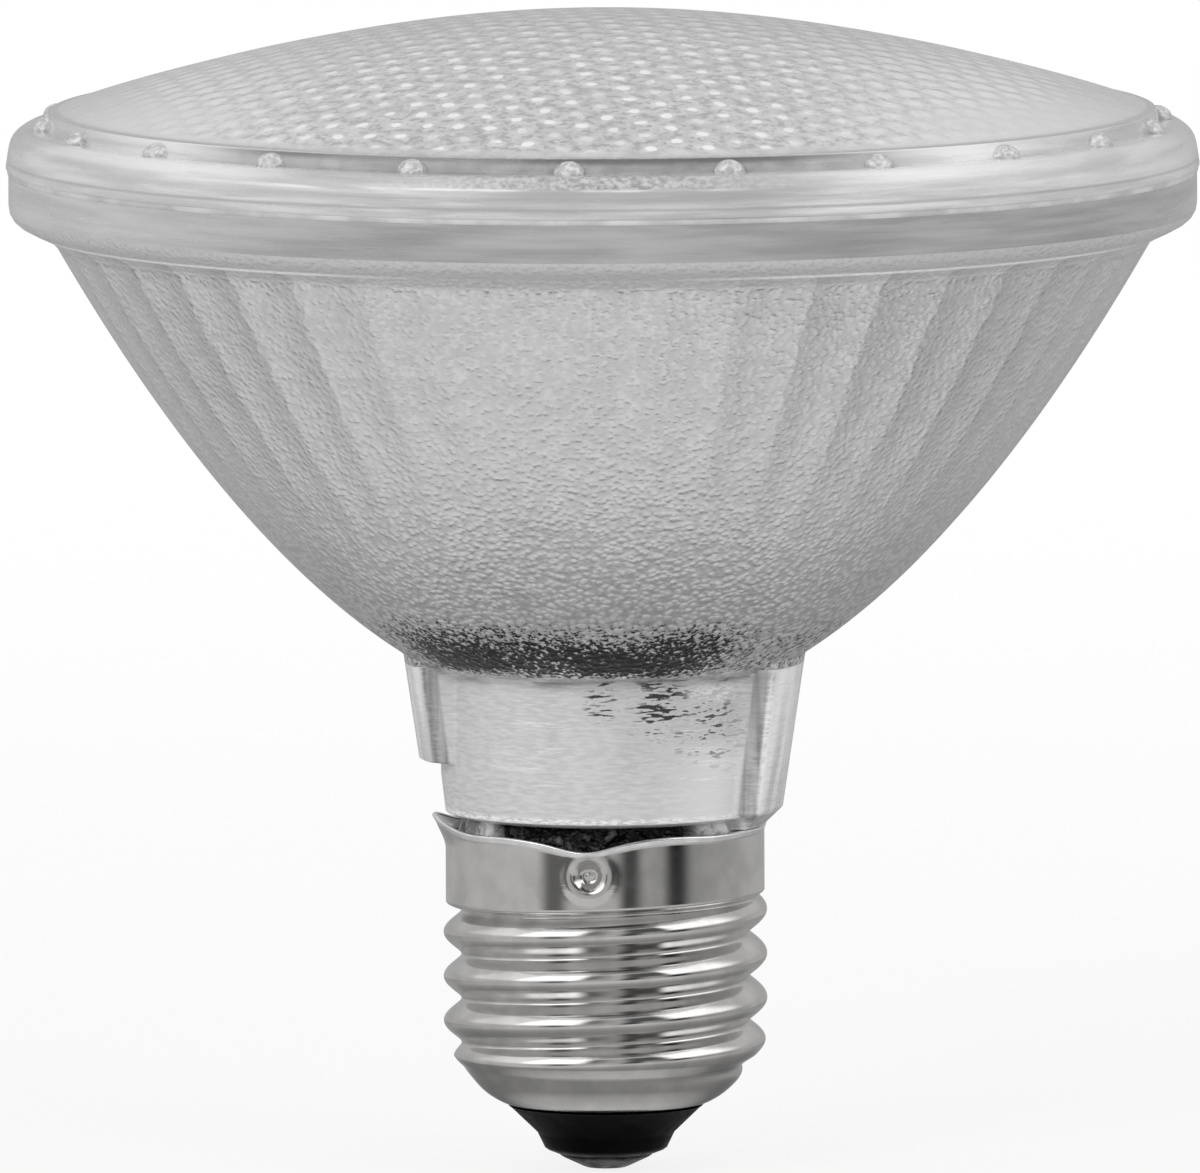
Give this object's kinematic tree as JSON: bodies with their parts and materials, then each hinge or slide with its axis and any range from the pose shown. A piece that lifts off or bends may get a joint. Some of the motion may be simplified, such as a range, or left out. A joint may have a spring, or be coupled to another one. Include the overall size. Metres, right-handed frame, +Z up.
{
  "type": "led reflector bulb",
  "caption": "Reflector bulb with a stippled glass lens on a silvered parabolic glass bowl, a lugged neck and an E27 screw cap, with an LED board and driver inside.",
  "frame": {"origin": "centre of the flat face of the centre contact, at the bottom of the cap", "axes": "+Z up the bulb's axis from the centre contact to the lens, -Y to the front with one collar crimp, +X to the long neck lug"},
  "size_m": [0.0974, 0.0974, 0.0946],
  "materials": {
    "tinned_contact": "dull tinned",
    "black_glass": "gloss black",
    "nickel_plate": "bright nickel",
    "silvered_glass": "pebbled glass silvered inside",
    "cement": "matt",
    "sealant": "satin",
    "clear_glass": "clear, stippled inside",
    "spun_aluminium": "satin",
    "white_mask": "white solder mask",
    "led_body": "matt white",
    "phosphor": "yellow silicone",
    "screw_steel": "zinc plated",
    "sleeve_plastic": "matt white",
    "circuit_board": "green solder mask",
    "ferrite": "matt grey",
    "copper": "enamelled winding",
    "capacitor_sleeve": "dark shrink sleeve",
    "film_box": "dipped coating",
    "chip_black": "moulded black",
    "resistor_body": "lacquered",
    "wire_black": "satin",
    "wire_white": "satin",
    "wire_red": "satin",
    "solder": "bright solder"
  },
  "bodies": {
    "root": {"centre_contact": "tinned_contact", "tip_insulator": "black_glass", "screw_shell": "nickel_plate", "reflector_housing": "silvered_glass", "cap_cement": "cement", "lens_seal": "sealant", "lens": "clear_glass", "heat_spreader": "spun_aluminium", "led_board": "white_mask", "led_packages": "led_body", "led_phosphors": "phosphor", "board_screws": "screw_steel", "driver_sleeve": "sleeve_plastic", "driver_board": "circuit_board", "inductor_core": "ferrite", "inductor_winding": "copper", "bulk_capacitor": "capacitor_sleeve", "film_capacitor": "film_box", "bridge_rectifier": "chip_black", "driver_chip": "chip_black", "fuse_resistor": "resistor_body", "live_wire": "wire_black", "neutral_wire": "wire_white", "neutral_solder": "solder", "led_wire_positive": "wire_red", "led_wire_negative": "wire_black"}
  },
  "joints": []
}
